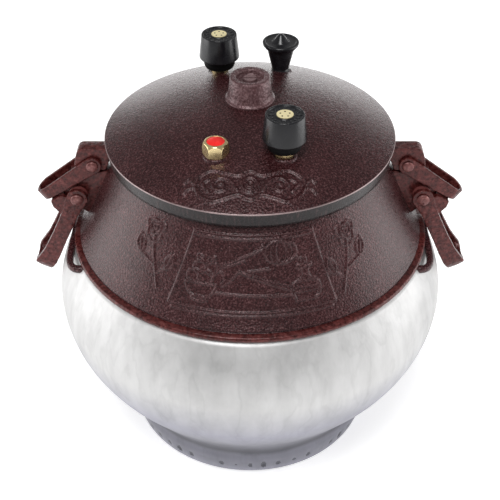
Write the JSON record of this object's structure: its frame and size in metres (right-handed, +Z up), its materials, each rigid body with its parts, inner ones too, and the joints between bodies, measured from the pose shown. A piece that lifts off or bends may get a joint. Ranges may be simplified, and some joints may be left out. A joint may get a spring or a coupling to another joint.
{
  "type": "stovetop pressure cooker",
  "caption": "Round-bellied cast pressure cooker with a dark shoulder, a domed lid with pressure weights and a safety valve, and a lever clamp at each side.",
  "frame": {"origin": "centre of the foot, on the surface it stands on", "axes": "+Z up through the lid's knob, +X out through the right clamp, -Y towards the front"},
  "size_m": [0.3558, 0.3182, 0.329],
  "materials": {
    "cast_aluminium": "bright machined casting, faintly rubbed",
    "brown_enamel": "hammered dark brown enamel, semi-gloss",
    "red_brown_enamel": "red-brown enamel over rough casting",
    "black_plastic": "moulded, satin",
    "black_metal": "blackened metal",
    "brass": "turned, polished",
    "steel": "turned",
    "red_rubber": "smooth, slightly glossy",
    "silicone": "matte translucent",
    "black_rubber": "matte"
  },
  "bodies": {
    "pot": {"pot_body": "cast_aluminium", "left_lever_pin": "red_brown_enamel", "right_lever_pin": "red_brown_enamel"},
    "lid": {"lid_cover": "brown_enamel", "lid_gasket": "silicone", "lid_knob": "brown_enamel", "knob_screw": "steel", "left_link_pin": "red_brown_enamel", "right_link_pin": "red_brown_enamel", "front_vent_pipe": "brass", "rear_vent_pipe": "brass", "front_vent_nut": "brass", "rear_vent_nut": "brass", "front_vent_strainer": "steel", "rear_vent_strainer": "steel", "safety_valve_body": "brass", "safety_plug": "red_rubber", "safety_valve_nut": "brass", "release_bushing": "brass", "release_nut": "brass"},
    "left_link": {"left_link": "red_brown_enamel"},
    "right_link": {"right_link": "red_brown_enamel"},
    "left_lever": {"left_lever": "red_brown_enamel"},
    "right_lever": {"right_lever": "red_brown_enamel"},
    "front_weight": {"front_weight_cap": "black_plastic", "front_weight_core": "black_metal", "front_weight_disc": "brass"},
    "rear_weight": {"rear_weight_cap": "black_plastic", "rear_weight_core": "black_metal", "rear_weight_disc": "brass"},
    "release": {"release_knob": "black_plastic", "release_stem": "steel", "release_seal": "black_rubber", "release_spring": "steel", "release_clip": "steel"}
  },
  "joints": [
    {"name": "lid_lift", "type": "slide", "parent": "pot", "child": "lid", "axis": [0, 0, 1], "range_m": [0, 0.15]},
    {"name": "left_lever_lift", "type": "hinge", "parent": "pot", "child": "left_lever", "pos_m": [-0.1375, 0, 0.2225], "axis": [0, 1, 0], "range_deg": [0, 65]},
    {"name": "left_link_swing", "type": "hinge", "parent": "lid", "child": "left_link", "pos_m": [-0.1235, 0, 0.2505], "axis": [0, 1, 0], "range_deg": [0, 32.5]},
    {"name": "right_lever_lift", "type": "hinge", "parent": "pot", "child": "right_lever", "pos_m": [0.1375, 0, 0.2225], "axis": [0, -1, 0], "range_deg": [0, 65]},
    {"name": "right_link_swing", "type": "hinge", "parent": "lid", "child": "right_link", "pos_m": [0.1235, 0, 0.2505], "axis": [0, -1, 0], "range_deg": [0, 32.5]},
    {"name": "front_weight_lift", "type": "slide", "parent": "lid", "child": "front_weight", "axis": [0, 0, 1], "range_m": [0, 0.03]},
    {"name": "rear_weight_lift", "type": "slide", "parent": "lid", "child": "rear_weight", "axis": [0, 0, 1], "range_m": [0, 0.03]},
    {"name": "release_lift", "type": "slide", "parent": "lid", "child": "release", "axis": [0, 0, 1], "range_m": [0, 0.004], "stiffness_N_per_m": 300, "springref_m": -0.01, "deforming": ["release_spring"]}
  ],
  "couplings": [
    {"joint": "left_link_swing", "follows": "left_lever_lift", "ratio": 0.5},
    {"joint": "right_link_swing", "follows": "right_lever_lift", "ratio": 0.5}
  ]
}
